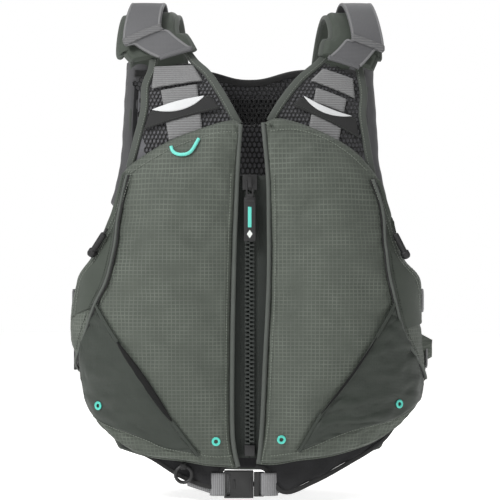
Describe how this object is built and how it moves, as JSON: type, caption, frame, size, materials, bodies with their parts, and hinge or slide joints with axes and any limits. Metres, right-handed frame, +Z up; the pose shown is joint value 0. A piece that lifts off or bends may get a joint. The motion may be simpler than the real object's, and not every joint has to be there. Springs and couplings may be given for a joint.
{
  "type": "life jacket",
  "caption": "Foam-filled paddling vest with a full front zip, webbing shoulder straps, mesh upper panels, side straps and a buckled waist belt.",
  "frame": {"origin": "on the torso's vertical axis, level with the belt's lower edge", "axes": "+Z up towards the shoulders, the front faces -Y, the wearer's left is at +X"},
  "size_m": [0.3874, 0.248, 0.5224],
  "materials": {
    "ripstop": "ripstop nylon, dull",
    "plain_cloth": "plain nylon, dull",
    "back_cloth": "coated nylon",
    "mesh": "spacer mesh",
    "foam": "closed-cell buoyancy foam",
    "ribbed_web": "ribbed webbing",
    "smooth_web": "smooth webbing",
    "piping": "corded piping",
    "reflective": "glass-bead tape",
    "black_tape": "woven tape",
    "black_plastic": "moulded acetal, satin",
    "teal_cord": "braided cord",
    "teal_metal": "painted eyelet"
  },
  "bodies": {
    "vest": {"back_liner": "mesh", "back_foam": "foam", "back_cover": "back_cloth", "neck_mesh": "mesh", "front_liner_right": "mesh", "front_foam_right": "foam", "front_cover_right": "ripstop", "hand_pocket_right": "plain_cloth", "wing_panel_right": "plain_cloth", "piping_right": "piping", "shoulder_mesh_right": "mesh", "shoulder_web_right": "ribbed_web", "shoulder_band_right": "black_tape", "reflective_patch_right": "reflective", "strap_anchor_right": "ribbed_web", "shoulder_yoke_right": "ripstop", "shoulder_strap_right": "smooth_web", "side_panel_right": "back_cloth", "side_strap_upper_right": "ribbed_web", "side_strap_lower_right": "ribbed_web", "zip_tape_right": "black_tape", "zip_teeth_right": "black_plastic", "grommet_inner_right": "teal_metal", "grommet_outer_right": "teal_metal", "cord_loop": "teal_cord", "front_liner_left": "mesh", "front_foam_left": "foam", "front_cover_left": "ripstop", "hand_pocket_left": "plain_cloth", "wing_panel_left": "plain_cloth", "piping_left": "piping", "shoulder_mesh_left": "mesh", "shoulder_web_left": "ribbed_web", "shoulder_band_left": "black_tape", "reflective_patch_left": "reflective", "strap_anchor_left": "ribbed_web", "shoulder_yoke_left": "ripstop", "shoulder_strap_left": "smooth_web", "side_panel_left": "back_cloth", "side_strap_upper_left": "ribbed_web", "side_strap_lower_left": "ribbed_web", "zip_tape_left": "black_tape", "zip_teeth_left": "black_plastic", "grommet_inner_left": "teal_metal", "grommet_outer_left": "teal_metal", "zip_box": "black_plastic", "belt_right": "ribbed_web", "belt_left": "ribbed_web", "buckle_socket": "black_plastic", "buckle_plug": "black_plastic", "lash_tab": "black_tape"},
    "zip_slider": {"zip_slider": "black_plastic"},
    "zip_pull": {"zip_pull": "black_plastic"},
    "pocket_pull_right": {"pocket_pull_right": "black_plastic"},
    "pocket_pull_left": {"pocket_pull_left": "black_plastic"},
    "lash_ring": {"lash_ring": "black_plastic"},
    "buckle_prong_upper": {"buckle_prong_upper": "black_plastic"},
    "buckle_prong_lower": {"buckle_prong_lower": "black_plastic"},
    "side_lock_right": {"side_lock_right": "black_plastic"},
    "side_lock_left": {"side_lock_left": "black_plastic"}
  },
  "joints": [
    {"name": "zip_slide", "type": "slide", "parent": "vest", "child": "zip_slider", "axis": [0, 0, -1], "range_m": [0, 0.24]},
    {"name": "zip_pull_swing", "type": "hinge", "parent": "zip_slider", "child": "zip_pull", "pos_m": [0, -0.1074, 0.333], "axis": [-1, 0, 0], "range_deg": [0, 150]},
    {"name": "pocket_pull_lift_right", "type": "hinge", "parent": "vest", "child": "pocket_pull_right", "pos_m": [-0.15043, -0.09298, 0.284], "axis": [-0.7068, 0.3349, 0.6231], "range_deg": [0, 75]},
    {"name": "pocket_pull_lift_left", "type": "hinge", "parent": "vest", "child": "pocket_pull_left", "pos_m": [0.15077, -0.09102, 0.284], "axis": [-0.7552, -0.3663, -0.5436], "range_deg": [0, 75]},
    {"name": "lash_ring_swing", "type": "hinge", "parent": "vest", "child": "lash_ring", "pos_m": [-0.06973, -0.09547, 0.034], "axis": [-1, 0, 0], "range_deg": [0, 80]},
    {"name": "prong_press_upper", "type": "hinge", "parent": "vest", "child": "buckle_prong_upper", "pos_m": [0.0032, -0.091, 0.0215], "axis": [0, -1, 0], "range_deg": [0, 9], "stiffness_Nm_per_rad": 0.4},
    {"name": "prong_press_lower", "type": "hinge", "parent": "vest", "child": "buckle_prong_lower", "pos_m": [0.0032, -0.091, 0.0079], "axis": [0, 1, 0], "range_deg": [0, 9], "stiffness_Nm_per_rad": 0.4},
    {"name": "side_lock_tilt_right", "type": "hinge", "parent": "vest", "child": "side_lock_right", "pos_m": [-0.1905, 0.00858, 0.147], "axis": [0, 0, 1], "range_deg": [0, 30]},
    {"name": "side_lock_tilt_left", "type": "hinge", "parent": "vest", "child": "side_lock_left", "pos_m": [0.1905, 0.00858, 0.147], "axis": [0, 0, -1], "range_deg": [0, 30]}
  ]
}
